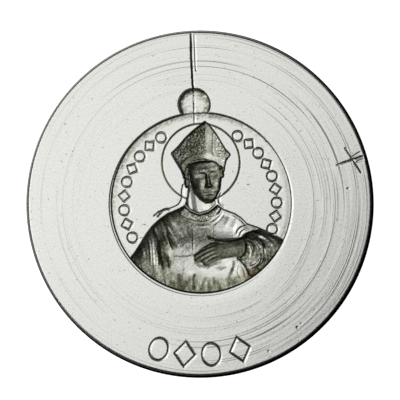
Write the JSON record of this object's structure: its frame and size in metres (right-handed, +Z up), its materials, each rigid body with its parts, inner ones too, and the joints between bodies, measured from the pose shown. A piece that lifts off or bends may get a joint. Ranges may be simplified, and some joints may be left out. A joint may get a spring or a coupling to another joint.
{
  "type": "steel striking die for a religious medal pendant",
  "caption": "Round steel striking die with a small religious medal and its lug sunk in the face as a negative: a haloed bishop inside an ornamental border.",
  "frame": {"origin": "centre of the flat foot that the die stands on", "axes": "+Z up, out of the face with the sunk medal; +Y towards the top of the medal and its lug"},
  "size_m": [0.044, 0.044, 0.024],
  "materials": {
    "turned_steel": "turned and polished tool steel, with a dark patina in the deep hollows"
  },
  "bodies": {
    "root": {"die_block": "turned_steel"}
  },
  "joints": []
}
